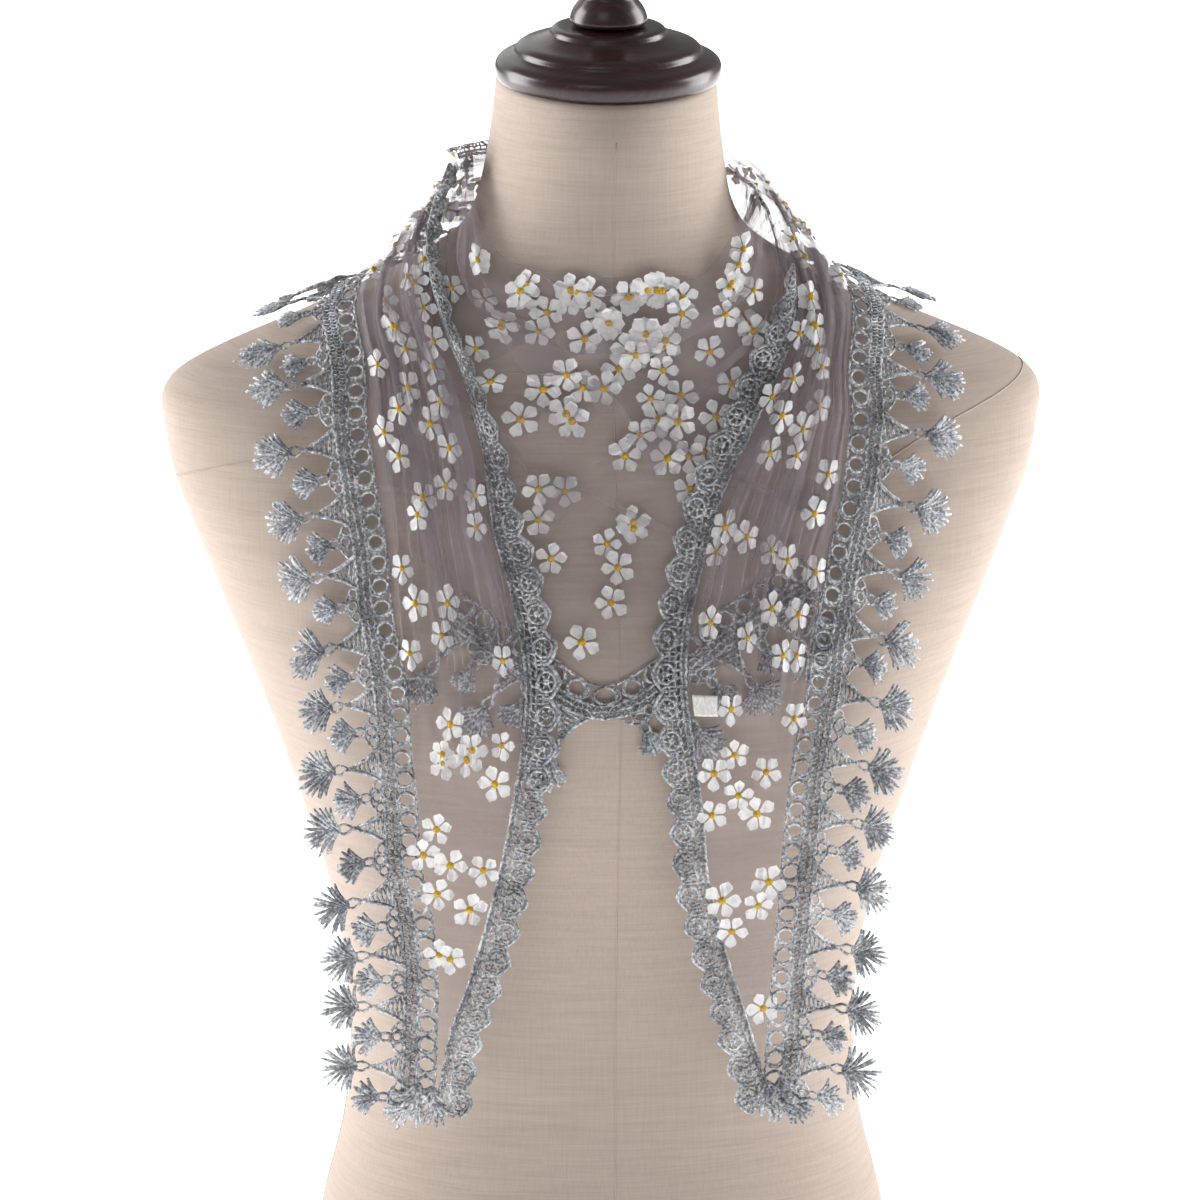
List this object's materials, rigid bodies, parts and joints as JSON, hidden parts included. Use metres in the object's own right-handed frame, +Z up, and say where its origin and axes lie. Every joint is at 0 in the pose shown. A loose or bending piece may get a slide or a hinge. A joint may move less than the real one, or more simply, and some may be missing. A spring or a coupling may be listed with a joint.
{
  "type": "lace shawl draped on a limbless dress form",
  "caption": "Sheer floral triangular shawl with scalloped and leaf-fringed lace edges, draped crosswise at the neck of a limbless dress form with a turned neck cap.",
  "frame": {"origin": "centre of the form's flat underside", "axes": "+Z up along the form; the chest and the shawl's hanging ends face -Y; +X is the viewer's right"},
  "size_m": [0.391, 0.2138, 0.6755],
  "materials": {
    "linen": "matte woven linen",
    "wood": "dark glossy stain",
    "tulle": "sheer tulle with printed flowers",
    "lace": "open thread lace",
    "tab": "matte woven tape"
  },
  "bodies": {
    "root": {"dress_form": "linen", "neck_cap": "wood", "cap_knob": "wood", "front_drape": "tulle", "end_left": "tulle", "end_right": "tulle", "wrap_inner": "tulle", "wrap_outer": "tulle", "edging_left": "lace", "edging_right": "lace", "edging_back": "lace", "fringe_left": "lace", "fringe_right": "lace", "fringe_point": "lace", "fringe_back": "lace", "label_tab": "tab"}
  },
  "joints": []
}
